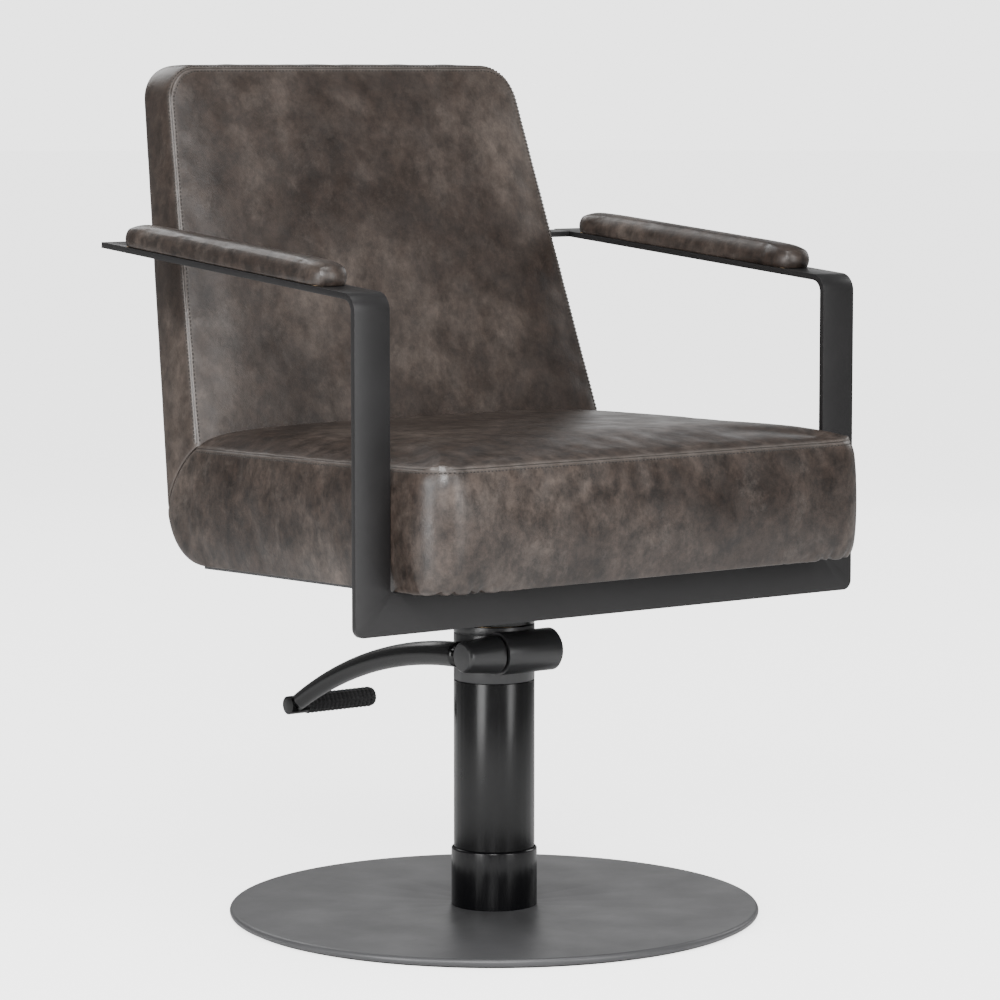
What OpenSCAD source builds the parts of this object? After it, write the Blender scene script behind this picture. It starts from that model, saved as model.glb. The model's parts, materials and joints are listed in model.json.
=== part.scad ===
/* [Base] */
// Diameter of the floor disc
base_d = 550; // [480:5:620]
// Thickness of the floor disc
base_t = 8; // [6:0.5:12]
// Thickness of the rubber sheet under the disc
floor_pad_t = 2; // [1:0.5:4]
// Outer diameter of the collar at the foot of the column
sleeve_d = 89; // [88:0.5:110]
// Height of the collar above the disc
sleeve_h = 61; // [40:1:80]

/* [Column] */
// Outer diameter of the column tube, the pump head and the swivel hub
column_d = 84; // [80:1:87]
// Height of the joint between the column tube and the pump head
head_z = 246; // [240:1:250]
// Height of the top of the pump head
head_top_z = 304; // [303:1:308]
// Outer diameter of the fixed guide tube inside the column
guide_d = 76; // [74:0.5:76]

/* [Lever] */
// Height of the lever pivot
pivot_z = 278.5; // [275:0.5:280]
// Distance from the column axis forward to the lever pivot
pivot_forward = 40; // [38:1:44]
// Diameter of the pivot housing
housing_d = 44; // [40:1:46]
// Distance from the pivot back to the pedal
lever_reach = 320; // [260:5:340]
// Bend radius of the lever arm
lever_bend_r = 620; // [500:10:900]
// Diameter of the pedal rubber
pedal_d = 22; // [18:1:26]
// Length of the pedal rubber
pedal_l = 91; // [70:1:110]

/* [Steel frame] */
// Width over the two posts
frame_w = 630; // [600:5:680]
// Width of the flat bar
bar_w = 41; // [36:1:46]
// Thickness of the flat bar
bar_t = 6; // [5:0.5:7]
// Height of the lower edge of the frame above the floor
frame_z = 335.5; // [335:0.5:338]
// Distance from the column axis to the front face of the frame
frame_forward = 199; // [190:1:210]
// Height of the top of the arms at the front bend
arm_z = 662.5; // [640:2.5:680]
// Slope of the arms, rising to the rear, in degrees
arm_rise = 4.4; // [0:0.1:6]
// Length of each arm from the front face to its rear end
arm_l = 452; // [430:1:470]
// Outer radius of the bend between post and arm
arm_bend_r = 18; // [12:1:24]

/* [Arm pads] */
// Width of the arm pads
pad_w = 42; // [36:1:50]
// Thickness of the arm pads
pad_h = 22; // [18:1:30]
// Length of the arm pads
pad_l = 358; // [330:1:365]
// Distance from the front face of the frame back to the pads
pad_start = 61; // [50:1:70]

/* [Seat] */
// Half of the seat width
seat_half_w = 271; // [255:1:272]
// Height of the side panel of the seat
seat_side_h = 120; // [100:1:130]
// Height of the crown of the seat over its side panels
seat_crown = 17; // [8:1:24]
// Distance from the column axis forward to the front of the seat
seat_forward = 269; // [250:1:280]
// Slope of the seat, falling to the rear, in degrees
seat_fall = 1.3; // [0:0.1:3]
// Radius of the lower rear corner
seat_rear_r = 72; // [50:1:80]
// Radius of the upright front corners
seat_corner_r = 24; // [15:1:30]

/* [Back] */
// Height of the top of the back above the floor
back_top_z = 878; // [850:1:900]
// Half of the back width at the top
back_half_w = 220; // [200:1:230]
// Widening of each side of the back towards the seat, per unit of height
back_flare = 0.107; // [0.05:0.001:0.12]
// Lean of the front of the back, per unit of height
back_front_lean = 0.2936; // [0.25:0.001:0.33]
// Lean of the rear of the back, per unit of height
back_rear_lean = 0.2625; // [0.22:0.001:0.30]
// Radius of the upper corners of the back
back_corner_r = 24; // [10:1:40]

/* [Hidden] */
$fn = 96;
eps = 0.01;

steel_black = "#3a3a3c";
gloss_black = "#1c1c1e";
bright_steel = "#a8abae";
rubber_black = "#202022";
leather_brown = "#4d4441";
plywood = "#c8a878";
foam_cream = "#e8dfc4";
bronze = "#b08a4a";
nylon_white = "#e4e2dc";

// Base and guide column
plate_top = floor_pad_t + base_t;
bolt_d = 12;
bolt_head_d = 28;
bolt_head_t = 4;
sleeve_gap = 0.4;
column_wall = 2.5;
column_bore = column_d - 2 * column_wall;
column_foot_z = plate_top + 4;
column_bush_h = 28;
guide_wall = 3;
guide_bore = guide_d - 2 * guide_wall;
foot_t = 12;
foot_top = plate_top + foot_t;
spigot_h = 8;
guide_top = 230;
rod_d = 25;
rod_seat_z = plate_top + 4;
rod_hole_l = 20;
piston_d = 35.8;
piston_z = 205;
piston_h = 14;
seal_low_z = piston_z + 5;
seal_high_z = piston_z + 9;
seal_groove_d = piston_d - 5;
cylinder_bore = 36.1;
cylinder_d = 46;
cylinder_foot_z = 36;
gland_h = 12;
cylinder_top_z = head_z + 4;
running_gap = 0.05;

// Pump head, pivot and plunger
pivot_y = -pivot_forward;
housing_left = -26;
housing_right = 44;
housing_bore = 24;
shaft_d = 16;
bush_l = 12;
bush_right = housing_right - 6;
spindle_d = 28;
spindle_foot_z = head_z + 16;
washer_d = 70;
washer_t = 3;
washer_z = head_top_z - 2;
plunger_d = 5;
plunger_x = 16;
plunger_y = pivot_y + shaft_d / 2 + plunger_d / 2 + 0.4;
plunger_foot_z = head_z + 8;
plunger_room = 4.5;
finger_t = 5;
finger_r = 11.2;
finger_w = 8;
plunger_gap = 0.3;
plunger_top_z = pivot_z - finger_t / 2 - plunger_gap;
spring_wire = 2;
spring_r = 10.2;
spring_turns = 6;
spring_left = housing_left + bush_l + 3;
spring_pitch = 2.9;

// Lever
boss_gap = 3;
boss_room = 1;
boss_right = housing_left - boss_gap;
boss_left = -72;
shaft_left = boss_left + 8;
boss_big_d = 40;
boss_small_d = 31;
arm_root_d = 27;
arm_end_d = 18;
arm_x = -58;
pedal_left = -68;
hub_right = arm_x + 13;
rod_left = pedal_left + 6;
rod_right = hub_right + pedal_l - 6;
pedal_y = pivot_y + lever_reach;
pedal_z = pivot_z - lever_bend_r + sqrt(lever_bend_r * lever_bend_r - lever_reach * lever_reach);
pedal_rod_d = 12;
pedal_hub_d = 20;
arm_rings = 22;
arm_sides = 24;
arm_sweep = asin(lever_reach / lever_bend_r);

// Swivel and seat support
hub_z = head_top_z + 1.1;
plate_z = 340;
plate_t = 6;
plate_w = 220;
plate_l = 180;
rail_z = plate_z + plate_t;
rail_w = 30;
rail_wall = 2.5;
rail_x = 85;
rail_rear = 128;
bolt8_d = 8;
bolt8_head_d = 14.4;
bolt8_head_t = 5;
plate_bolt_y = 70;
seat_bolt_y = [-150, 110];
seat_bolt_l = 34;

// Steel frame
frame_y = -frame_forward;
post_x = frame_w / 2 - bar_w / 2;
bar_top_z = frame_z + bar_w;
frame_corner_r = 10;
frame_inner_r = 4;
bend_y = frame_y + arm_bend_r;
bend_z = arm_z + arm_bend_r * tan(arm_rise) - arm_bend_r / cos(arm_rise);
stay_w = 22;
stay_from_end = 6;
stay_in = 58;
screw_d = 5;
screw_head_d = 10;
screw_head_t = 2.4;
screw_steps = [40, pad_l / 2, pad_l - 40];
pad_board_t = 5;
pad_board_w = 34;
pad_corner_r = 13;

// Seat and back outlines, in the side plane
seat_bottom_front_z = bar_top_z + 0.5;
fall = tan(seat_fall);
board_t = 12;
board_front_y = 28 - seat_forward;
board_rear_y = 118;
board_inset = 16;
cover_t = 2;
leather_t = 2;
back_ref_z = 525;
back_front_ref_y = 164.5;
back_rear_ref_y = 226.5;
seam_z = 490;
seam_arc_r = 142;
split_z = 424;
frame_ply = 12;
frame_inset = 11;
frame_edge = 22;
bracket_t = 5;
bracket_w = 40;
bracket_x = 150;

function seat_bottom(y) = seat_bottom_front_z - (y - frame_y) * fall;
function seat_seam(y) = seat_bottom(y) + seat_side_h;
function back_front(z) = back_front_ref_y + (z - back_ref_z) * back_front_lean;
function back_rear(z) = back_rear_ref_y + (z - back_ref_z) * back_rear_lean;
function back_half(z) = back_half_w + (back_top_z - z) * back_flare;

module tube(outer, inner, z0, z1) {
    difference() {
        translate([0, 0, z0]) cylinder(d = outer, h = z1 - z0);
        translate([0, 0, z0 - 1]) cylinder(d = inner, h = z1 - z0 + 2);
    }
}

module along_x(d, x0, x1) {
    translate([x0, 0, 0]) rotate([0, 90, 0]) cylinder(d = d, h = x1 - x0);
}

module at_pivot() {
    translate([0, pivot_y, pivot_z]) children();
}

module side_extrude(half_w) {
    translate([-half_w, 0, 0]) rotate([90, 0, 90]) linear_extrude(2 * half_w) children();
}

// Extrudes an outline seen from the front through the whole depth of the back
module through_back() {
    translate([0, 500, 0]) rotate([90, 0, 0]) linear_extrude(500) children();
}

module hex_bolt(head_d, head_t, shank_d, shank_l) {
    cylinder(d = head_d, h = head_t, $fn = 6);
    cylinder(d = shank_d, h = head_t + shank_l);
}

// Fixed base

module base_plate() {
    color(steel_black) difference() {
        rotate_extrude($fn = 180) {
            translate([0, floor_pad_t]) square([base_d / 2 - base_t / 2, base_t]);
            translate([base_d / 2 - base_t / 2, floor_pad_t + base_t / 2]) circle(d = base_t);
        }
        cylinder(d = bolt_d, h = plate_top + 1);
        cylinder(d = bolt_head_d + 2, h = floor_pad_t + bolt_head_t);
    }
}

module floor_pad() {
    color(rubber_black) cylinder(d = base_d - 14, h = floor_pad_t, $fn = 180);
}

module base_sleeve() {
    lip = 1.5;
    color(gloss_black) difference() {
        union() {
            translate([0, 0, plate_top]) cylinder(d = sleeve_d, h = sleeve_h - lip);
            translate([0, 0, plate_top + sleeve_h - lip])
                cylinder(d1 = sleeve_d, d2 = sleeve_d - 2 * lip, h = lip);
        }
        translate([0, 0, plate_top - 1]) cylinder(d = column_d + 2 * sleeve_gap, h = sleeve_h + 2);
    }
}

module ram_foot() {
    color(steel_black) difference() {
        union() {
            translate([0, 0, plate_top]) cylinder(d = guide_d - 0.4, h = foot_t);
            translate([0, 0, foot_top]) cylinder(d = guide_bore, h = spigot_h);
        }
        translate([0, 0, rod_seat_z]) cylinder(d = rod_d, h = foot_t + spigot_h);
        cylinder(d = bolt_d, h = foot_top);
    }
}

module centre_bolt() {
    color(bright_steel) translate([0, 0, floor_pad_t]) {
        cylinder(d = bolt_head_d, h = bolt_head_t);
        cylinder(d = bolt_d, h = rod_seat_z + rod_hole_l - 2 - floor_pad_t);
    }
}

module guide_tube() {
    color(bright_steel) tube(guide_d, guide_bore, foot_top, guide_top);
}

module ram_rod() {
    color(bright_steel) difference() {
        translate([0, 0, rod_seat_z]) cylinder(d = rod_d, h = piston_z - rod_seat_z);
        translate([0, 0, rod_seat_z - 1]) cylinder(d = bolt_d, h = rod_hole_l + 1);
    }
}

module ram_piston() {
    color(bright_steel) difference() {
        translate([0, 0, piston_z]) cylinder(d = piston_d, h = piston_h);
        tube(piston_d + 2, seal_groove_d, seal_low_z, seal_high_z);
    }
}

module piston_seal() {
    color(rubber_black) tube(cylinder_bore - 0.04, seal_groove_d, seal_low_z, seal_high_z);
}

// Parts that rise with the seat

module column_tube() {
    color(steel_black) tube(column_d, column_bore, column_foot_z, head_z);
}

module column_bush() {
    color(nylon_white)
        tube(column_bore, guide_d + 2 * running_gap, column_foot_z, column_foot_z + column_bush_h);
}

module hydraulic_cylinder() {
    color(bright_steel) tube(cylinder_d, cylinder_bore, cylinder_foot_z, cylinder_top_z);
}

module cylinder_gland() {
    color(bronze) tube(cylinder_bore, rod_d + 2 * running_gap, cylinder_foot_z, cylinder_foot_z + gland_h);
}

module pump_head() {
    groove = 1.2;
    upper_groove_z = head_top_z - 9;
    chamfer = 2;
    spigot = 8;
    oil_way_d = 5;
    color(steel_black) difference() {
        union() {
            translate([0, 0, head_z]) cylinder(d = column_d, h = head_top_z - head_z);
            translate([0, 0, head_z - spigot]) cylinder(d = column_bore, h = spigot);
            at_pivot() along_x(housing_d, housing_left, housing_right - chamfer);
            at_pivot() translate([housing_right - chamfer, 0, 0]) rotate([0, 90, 0])
                cylinder(d1 = housing_d, d2 = housing_d - 2 * chamfer, h = chamfer);
        }
        // Thin joint lines round the head
        tube(column_d + 4, column_d - 2 * groove, head_z - eps, head_z + groove);
        tube(column_d + 4, column_d - 2 * groove, upper_groove_z, upper_groove_z + groove);
        // Seat of the hydraulic cylinder and its oil way
        translate([0, 0, head_z - spigot - 1])
            cylinder(d = cylinder_d, h = cylinder_top_z - head_z + spigot + 1);
        translate([0, 0, cylinder_top_z - 1]) cylinder(d = oil_way_d, h = spigot);
        // Bore for the swivel spindle and the recess of its washer
        translate([0, 0, spindle_foot_z - 2])
            cylinder(d = spindle_d + 2 * running_gap, h = head_top_z - spindle_foot_z + 10);
        translate([0, 0, washer_z]) cylinder(d = washer_d + 0.4, h = 10);
        // Bore for the lever pivot
        at_pivot() along_x(housing_bore, housing_left - 1, bush_right);
        // Bore for the pump plunger
        translate([plunger_x, plunger_y, plunger_foot_z - plunger_room])
            cylinder(d = plunger_d + 2 * running_gap, h = plunger_room + pivot_z - plunger_foot_z);
        // Room beside the housing for the wide end of the lever boss
        at_pivot() along_x(boss_big_d + 2 * boss_room, boss_left, housing_left - boss_room / 2);
    }
}

module pivot_bushes() {
    color(bronze) at_pivot() for (x = [housing_left, bush_right - bush_l]) difference() {
        along_x(housing_bore, x, x + bush_l);
        along_x(shaft_d + 2 * running_gap, x - 1, x + bush_l + 1);
    }
}

module thrust_washer() {
    color(bronze) tube(washer_d, spindle_d + 0.6, washer_z, washer_z + washer_t);
}

module return_spring() {
    sides = 8;
    steps = 16;
    count = spring_turns * steps;
    function ring_point(i, k) = let (
        turn = 360 * i / steps,
        around = 360 * k / sides,
        r = spring_r + spring_wire / 2 * cos(around)
    ) [
        spring_left + spring_pitch * i / steps + spring_wire / 2 * sin(around),
        r * cos(turn),
        r * sin(turn)
    ];
    points = [for (i = [0:count]) for (k = [0:sides - 1]) ring_point(i, k)];
    walls = [for (i = [0:count - 1]) for (k = [0:sides - 1])
        [i * sides + k, i * sides + (k + 1) % sides, (i + 1) * sides + (k + 1) % sides, (i + 1) * sides + k]];
    start_cap = [for (k = [sides - 1:-1:0]) k];
    end_cap = [for (k = [0:sides - 1]) count * sides + k];
    color(bright_steel) at_pivot()
        polyhedron(points = points, faces = concat(walls, [start_cap], [end_cap]));
}

module pump_plunger() {
    color(bright_steel) translate([plunger_x, plunger_y, plunger_foot_z])
        cylinder(d = plunger_d, h = plunger_top_z - plunger_foot_z);
}

// Foot lever

module pivot_shaft() {
    color(bright_steel) at_pivot() {
        along_x(shaft_d, shaft_left, bush_right - 0.5);
        translate([plunger_x - finger_w / 2, 0, -finger_t / 2]) cube([finger_w, finger_r, finger_t]);
    }
}

module boss_body() {
    edge = 2;
    translate([boss_right, 0, 0]) rotate([0, -90, 0])
        cylinder(d1 = boss_big_d, d2 = boss_small_d, h = boss_right - boss_left - edge);
    translate([boss_left + edge, 0, 0]) rotate([0, -90, 0])
        cylinder(d1 = boss_small_d, d2 = boss_small_d - 2 * edge, h = edge);
}

module lever_boss() {
    color(steel_black) at_pivot() difference() {
        boss_body();
        along_x(shaft_d, shaft_left, boss_right + 1);
    }
}

module lever_arm() {
    start = asin((boss_small_d / 2 - 4) / lever_bend_r);
    function bend_angle(i) = start + (arm_sweep - start) * i / arm_rings;
    function thickness(i) = arm_root_d + (arm_end_d - arm_root_d) * i / arm_rings;
    function ring_point(i, k) = let (
        a = bend_angle(i),
        r = lever_bend_r + thickness(i) / 2 * cos(360 * k / arm_sides)
    ) [
        arm_x + thickness(i) / 2 * sin(360 * k / arm_sides),
        pivot_y + r * sin(a),
        pivot_z - lever_bend_r + r * cos(a)
    ];
    points = [for (i = [0:arm_rings]) for (k = [0:arm_sides - 1]) ring_point(i, k)];
    walls = [for (i = [0:arm_rings - 1]) for (k = [0:arm_sides - 1]) [
        i * arm_sides + k,
        (i + 1) * arm_sides + k,
        (i + 1) * arm_sides + (k + 1) % arm_sides,
        i * arm_sides + (k + 1) % arm_sides
    ]];
    start_cap = [for (k = [0:arm_sides - 1]) k];
    end_cap = [for (k = [arm_sides - 1:-1:0]) arm_rings * arm_sides + k];
    color(steel_black) difference() {
        polyhedron(points = points, faces = concat(walls, [start_cap], [end_cap]));
        at_pivot() boss_body();
        translate([0, pedal_y, pedal_z]) along_x(pedal_hub_d, arm_x - 20, arm_x + 20);
    }
}

module pedal_hub() {
    color(steel_black) translate([0, pedal_y, pedal_z]) difference() {
        along_x(pedal_hub_d, pedal_left, hub_right);
        along_x(pedal_rod_d, rod_left, hub_right + 1);
    }
}

module pedal_rod() {
    color(bright_steel) translate([0, pedal_y, pedal_z])
        along_x(pedal_rod_d, rod_left, rod_right);
}

module pedal_grip() {
    edge = 3;
    end_x = hub_right + pedal_l;
    color(rubber_black) translate([0, pedal_y, pedal_z]) difference() {
        union() {
            along_x(pedal_d, hub_right, end_x - edge);
            translate([end_x - edge, 0, 0]) rotate([0, 90, 0])
                cylinder(d1 = pedal_d, d2 = pedal_d - 2 * edge, h = edge);
        }
        along_x(pedal_rod_d, hub_right - 1, rod_right);
    }
}

// Swivel and seat support

module swivel_spindle() {
    color(bright_steel) translate([0, 0, spindle_foot_z])
        cylinder(d = spindle_d, h = plate_z - spindle_foot_z);
}

module swivel_hub() {
    straight_h = 20;
    flare = 20;
    color(steel_black) difference() {
        union() {
            translate([0, 0, hub_z]) cylinder(d = column_d, h = straight_h);
            translate([0, 0, hub_z + straight_h])
                cylinder(d1 = column_d, d2 = column_d + flare, h = plate_z - hub_z - straight_h);
        }
        translate([0, 0, hub_z - 1]) cylinder(d = spindle_d, h = plate_z - hub_z + 2);
    }
}

module bolt_grid(xs, ys) {
    for (x = xs) for (y = ys) translate([x, y, 0]) children();
}

module swivel_plate() {
    color(steel_black) difference() {
        translate([-plate_w / 2, -plate_l / 2, plate_z]) cube([plate_w, plate_l, plate_t]);
        bolt_grid([-rail_x, rail_x], [-plate_bolt_y, plate_bolt_y])
            translate([0, 0, plate_z - 1]) cylinder(d = bolt8_d, h = plate_t + 2);
    }
}

module plate_bolts() {
    color(bright_steel) bolt_grid([-rail_x, rail_x], [-plate_bolt_y, plate_bolt_y])
        translate([0, 0, plate_z - bolt8_head_t])
            hex_bolt(bolt8_head_d, bolt8_head_t, bolt8_d, plate_t + rail_wall);
}

module rail_outline(inset, overrun) {
    front = frame_y + bar_t - overrun;
    rear = rail_rear + overrun;
    polygon([
        [front, rail_z + inset],
        [rear, rail_z + inset],
        [rear, seat_bottom(rear) - inset],
        [front, seat_bottom(front) - inset]
    ]);
}

module seat_rails() {
    color(steel_black) for (side = [-1, 1]) translate([side * rail_x, 0, 0]) difference() {
        side_extrude(rail_w / 2) rail_outline(0, 0);
        side_extrude(rail_w / 2 - rail_wall) rail_outline(rail_wall, 1);
        for (y = [-plate_bolt_y, plate_bolt_y])
            translate([0, y, rail_z - 1]) cylinder(d = bolt8_d, h = rail_wall + 2);
        for (y = seat_bolt_y) translate([0, y, rail_z - 1]) cylinder(d = bolt8_d, h = 60);
    }
}

module seat_bolts() {
    color(bright_steel) bolt_grid([-rail_x, rail_x], seat_bolt_y)
        translate([0, 0, rail_z - bolt8_head_t]) hex_bolt(bolt8_head_d, bolt8_head_t, bolt8_d, seat_bolt_l);
}

// Steel frame and arms

// The frame seen from the front, with its posts running up past the arms
module frame_outline() {
    half = frame_w / 2;
    post_l = arm_z + arm_l * tan(arm_rise) + bar_w - frame_z;
    difference() {
        union() {
            translate([-half + frame_corner_r, frame_z]) square([frame_w - 2 * frame_corner_r, bar_w]);
            translate([-half, frame_z + frame_corner_r]) square([frame_w, post_l]);
            for (side = [-1, 1]) translate([side * (half - frame_corner_r), frame_z + frame_corner_r])
                circle(r = frame_corner_r);
        }
        translate([-half + bar_w, bar_top_z + frame_inner_r]) square([frame_w - 2 * bar_w, post_l]);
        translate([-half + bar_w + frame_inner_r, bar_top_z])
            square([frame_w - 2 * bar_w - 2 * frame_inner_r, post_l]);
        for (side = [-1, 1]) translate([side * (half - bar_w - frame_inner_r), bar_top_z + frame_inner_r])
            circle(r = frame_inner_r);
    }
}

// The frame seen from the side: a post that bends back into an arm
module frame_side_outline() {
    past = 5;
    inner_r = arm_bend_r - bar_t;
    centre = [bend_y, bend_z];
    along = [cos(arm_rise), sin(arm_rise)];
    up = [-sin(arm_rise), cos(arm_rise)];
    corner = [frame_y, arm_z];
    difference() {
        polygon([
            [frame_y, frame_z - 1],
            corner,
            corner + arm_l * along,
            corner + arm_l * along - bar_t * up,
            centre + inner_r * up,
            centre,
            [frame_y + bar_t, bend_z],
            [frame_y + bar_t, frame_z - 1]
        ]);
        translate(centre) circle(r = inner_r);
        difference() {
            polygon([
                [frame_y - past, bend_z],
                [frame_y - past, arm_z + past],
                centre + (arm_bend_r + past) * up,
                centre
            ]);
            translate(centre) circle(r = arm_bend_r);
        }
    }
}

// Puts children on the top face of one arm: Y runs along the arm from the front face
module on_arm(side) {
    translate([side * post_x, frame_y, arm_z]) rotate([arm_rise, 0, 0]) children();
}

module arm_frame() {
    color(steel_black) difference() {
        intersection() {
            translate([0, frame_y + arm_l + 1, 0]) rotate([90, 0, 0])
                linear_extrude(arm_l + 2) frame_outline();
            side_extrude(frame_w / 2 + 1) frame_side_outline();
        }
        for (side = [-1, 1]) on_arm(side) for (step = screw_steps)
            translate([0, pad_start + step, -bar_t - 1]) cylinder(d = screw_d, h = bar_t + 2);
    }
}

module stay_shape(side) {
    inner = -side * (bar_w / 2 + stay_in / 2);
    on_arm(side) translate([inner - stay_in / 2, arm_l - stay_from_end - stay_w, -bar_t])
        cube([stay_in, stay_w, bar_t]);
}

module arm_stay_left() {
    color(steel_black) stay_shape(-1);
}

module arm_stay_right() {
    color(steel_black) stay_shape(1);
}

module pad_plan(w, l, r) {
    translate([-w / 2 + r, 0]) square([w - 2 * r, l]);
    translate([-w / 2, r]) square([w, l - 2 * r]);
    for (x = [-w / 2 + r, w / 2 - r]) for (y = [r, l - r]) translate([x, y]) circle(r = r);
}

module pad_board_shape(side) {
    inset = (pad_w - pad_board_w) / 2;
    on_arm(side) translate([0, pad_start + inset, 0])
        linear_extrude(pad_board_t) pad_plan(pad_board_w, pad_l - 2 * inset, pad_corner_r - inset);
}

module drilled_pad_board(side) {
    color(plywood) difference() {
        pad_board_shape(side);
        on_arm(side) for (step = screw_steps)
            translate([0, pad_start + step, -1]) cylinder(d = screw_d, h = pad_board_t + 2);
    }
}

module pad_board_left() {
    drilled_pad_board(-1);
}

module pad_board_right() {
    drilled_pad_board(1);
}

module pad_screws() {
    color(bright_steel) for (side = [-1, 1]) on_arm(side) for (step = screw_steps)
        translate([0, pad_start + step, -bar_t - screw_head_t]) {
            cylinder(d = screw_head_d, h = screw_head_t);
            cylinder(d = screw_d, h = screw_head_t + bar_t + pad_board_t);
        }
}

module arm_pad(side) {
    color(leather_brown) difference() {
        on_arm(side) translate([0, pad_start, 0]) linear_extrude(pad_h) pad_plan(pad_w, pad_l, pad_corner_r);
        pad_board_shape(side);
    }
}

module arm_pad_left() {
    arm_pad(-1);
}

module arm_pad_right() {
    arm_pad(1);
}

// Seat and back

// Flat layer of the seat base, from one height above the underside of the seat to another
module seat_base_layer(low, high) {
    side_extrude(seat_half_w - board_inset) polygon([
        [board_front_y, seat_bottom(board_front_y) + low],
        [board_rear_y, seat_bottom(board_rear_y) + low],
        [board_rear_y, seat_bottom(board_rear_y) + high],
        [board_front_y, seat_bottom(board_front_y) + high]
    ]);
}

module seat_board() {
    color(plywood) difference() {
        seat_base_layer(cover_t, cover_t + board_t);
        seat_bolts();
    }
}

module dust_cover() {
    color(rubber_black) difference() {
        seat_base_layer(0, cover_t);
        seat_bolts();
    }
}

module back_frame() {
    low = split_z + 2;
    high = back_top_z - frame_edge - 4;
    color(plywood) intersection() {
        side_extrude(back_half(low)) polygon([
            [back_rear(low) - frame_inset - frame_ply, low],
            [back_rear(low) - frame_inset, low],
            [back_rear(high) - frame_inset, high],
            [back_rear(high) - frame_inset - frame_ply, high]
        ]);
        through_back() polygon([
            [-back_half(low) + frame_edge, low],
            [back_half(low) - frame_edge, low],
            [back_half(high) - frame_edge, high],
            [-back_half(high) + frame_edge, high]
        ]);
    }
}

module back_brackets() {
    foot_front = 40;
    top = 500;
    bend_rise = 24;
    function foot_z(y) = seat_bottom(y) + cover_t + board_t;
    function upright_y(z) = back_rear(z) - frame_inset - frame_ply;
    low_z = foot_z(board_rear_y) + bracket_t + bend_rise;
    color(steel_black) for (side = [-1, 1]) translate([side * bracket_x, 0, 0])
        side_extrude(bracket_w / 2) polygon([
            [foot_front, foot_z(foot_front)],
            [board_rear_y, foot_z(board_rear_y)],
            [upright_y(low_z), low_z],
            [upright_y(top), top],
            [upright_y(top) - bracket_t, top],
            [upright_y(low_z) - bracket_t, low_z + 4],
            [board_rear_y - 4, foot_z(board_rear_y) + bracket_t],
            [foot_front, foot_z(foot_front) + bracket_t]
        ]);
}

// Centre of the arc along which the back meets the rear of the seat
seam_start = [back_front(seam_z), seam_z];
seam_end = [back_rear(split_z), split_z];
seam_mid = (seam_start + seam_end) / 2;
seam_half = norm(seam_end - seam_start) / 2;
seam_dir = (seam_end - seam_start) / norm(seam_end - seam_start);
seam_centre = seam_mid + sqrt(seam_arc_r * seam_arc_r - seam_half * seam_half) * [seam_dir[1], -seam_dir[0]];

// Centre of the lower rear corner and the two points where its arc meets the straight lines
rear_tilt = atan(back_rear_lean);
corner_angle = 90 + rear_tilt - seat_fall;
corner_t = seat_rear_r * tan((180 - corner_angle) / 2);
corner_y = (back_rear_ref_y + (seat_bottom(0) - back_ref_z) * back_rear_lean) / (1 + fall * back_rear_lean);
corner_z = seat_bottom(corner_y);
corner_on_bottom = [corner_y - corner_t * cos(seat_fall), corner_z + corner_t * sin(seat_fall)];
corner_on_rear = [corner_y + corner_t * sin(rear_tilt), corner_z + corner_t * cos(rear_tilt)];
corner_centre = corner_on_bottom + seat_rear_r * [sin(seat_fall), cos(seat_fall)];

module seat_side_outline() {
    front = -seat_forward;
    polygon([
        [front, seat_bottom(front)],
        corner_on_bottom,
        corner_on_rear,
        seam_end,
        seam_start,
        [seam_start[0], seat_seam(seam_start[0]) + seat_crown],
        [front, seat_seam(front) + seat_crown]
    ]);
    intersection() {
        translate(corner_centre) circle(r = seat_rear_r);
        polygon([corner_centre, corner_on_bottom, [corner_y + 5, corner_z - 5], corner_on_rear]);
    }
    intersection() {
        translate(seam_centre) circle(r = seam_arc_r);
        polygon([seam_start, seam_end, seam_end + [0, 60], seam_start + [0, 60]]);
    }
}

// Outline of the seat seen from the front, from its underside up to the crowned top
module seat_front_outline() {
    top = seat_side_h + seat_crown;
    edge = 8;
    shoulder = 60;
    polygon([
        [-seat_half_w, -20],
        [seat_half_w, -20],
        [seat_half_w, seat_side_h],
        [seat_half_w - edge, seat_side_h + edge],
        [seat_half_w - shoulder, top],
        [shoulder - seat_half_w, top],
        [edge - seat_half_w, seat_side_h + edge],
        [-seat_half_w, seat_side_h]
    ]);
}

// Outline of the seat seen from above, with rounded front corners
module seat_plan() {
    r = seat_corner_r;
    rear = back_rear_ref_y + 20;
    translate([-seat_half_w, r - seat_forward]) square([2 * seat_half_w, rear + seat_forward - r]);
    translate([r - seat_half_w, -seat_forward]) square([2 * (seat_half_w - r), 2 * r]);
    for (side = [-1, 1]) translate([side * (seat_half_w - r), r - seat_forward]) circle(r = r);
}

// Shrinks an outline by the thickness of the cover
module shrunk(depth) {
    if (depth > 0) offset(delta = -depth) children();
    else children();
}

module seat_block(depth) {
    intersection() {
        side_extrude(seat_half_w - depth) shrunk(depth) seat_side_outline();
        translate([0, frame_y, seat_bottom_front_z]) rotate([90 - seat_fall, 0, 0])
            translate([0, 0, -500]) linear_extrude(800) shrunk(depth) seat_front_outline();
        translate([0, 0, frame_z]) linear_extrude(seat_side_h + 120) shrunk(depth) seat_plan();
    }
}

module seat_insides() {
    seat_base_layer(-1, cover_t + board_t);
    back_frame();
    back_brackets();
}

module seat_foam() {
    color(foam_cream) difference() {
        seat_block(leather_t);
        seat_insides();
    }
}

module seat_cover() {
    color(leather_brown) difference() {
        seat_block(0);
        seat_block(leather_t);
        seat_insides();
    }
}

module back_side_outline() {
    difference() {
        polygon([
            seam_start,
            [back_front(back_top_z), back_top_z],
            [back_rear(back_top_z), back_top_z],
            seam_end
        ]);
        translate(seam_centre) circle(r = seam_arc_r);
    }
}

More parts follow.
